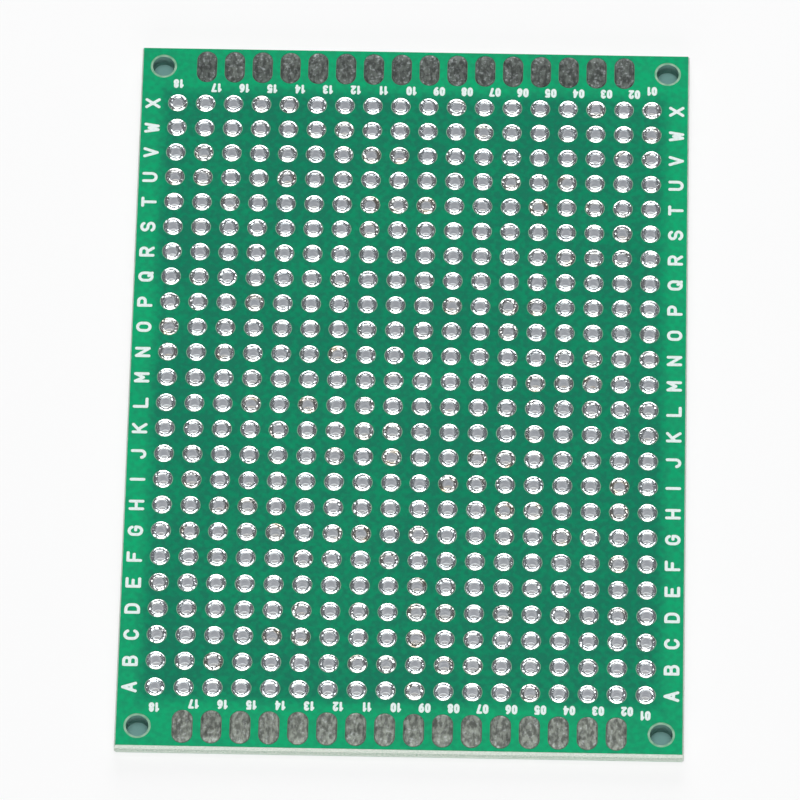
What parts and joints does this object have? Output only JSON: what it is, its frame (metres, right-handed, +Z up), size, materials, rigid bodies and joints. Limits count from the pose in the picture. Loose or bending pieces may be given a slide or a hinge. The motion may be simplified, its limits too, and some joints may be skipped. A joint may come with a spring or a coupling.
{
  "type": "prototype board",
  "caption": "Flat drilled circuit board with a square grid of plated-through holes, oblong pads along both ends and a mounting hole in each corner.",
  "frame": {"origin": "centre of the board's outline, on the surface that it lies on", "axes": "+X across the board along its columns, +Y along its length from row A to row X, +Z up out of the upper face"},
  "size_m": [0.05, 0.07, 0.0017],
  "materials": {
    "laminate": "bare woven glass-epoxy, pale and faintly green, rough where it was snapped along the scored edges",
    "solder_mask": "green solder mask, satin gloss, faintly mottled by the weave and the metal under it",
    "plated_holes": "bright tinned copper, crowned by surface tension, slightly uneven from hole to hole",
    "end_pads": "levelled tin, nearly flat, dull and mottled",
    "legend_ink": "white screen-printed ink"
  },
  "bodies": {
    "root": {"substrate": "laminate", "solder_mask_top": "solder_mask", "solder_mask_bottom": "solder_mask", "plated_row_a": "plated_holes", "plated_row_b": "plated_holes", "plated_row_c": "plated_holes", "plated_row_d": "plated_holes", "plated_row_e": "plated_holes", "plated_row_f": "plated_holes", "plated_row_g": "plated_holes", "plated_row_h": "plated_holes", "plated_row_i": "plated_holes", "plated_row_j": "plated_holes", "plated_row_k": "plated_holes", "plated_row_l": "plated_holes", "plated_row_m": "plated_holes", "plated_row_n": "plated_holes", "plated_row_o": "plated_holes", "plated_row_p": "plated_holes", "plated_row_q": "plated_holes", "plated_row_r": "plated_holes", "plated_row_s": "plated_holes", "plated_row_t": "plated_holes", "plated_row_u": "plated_holes", "plated_row_v": "plated_holes", "plated_row_w": "plated_holes", "plated_row_x": "plated_holes", "end_pads_top_front": "end_pads", "end_pads_top_back": "end_pads", "end_pads_bottom_front": "end_pads", "end_pads_bottom_back": "end_pads"}
  },
  "joints": []
}
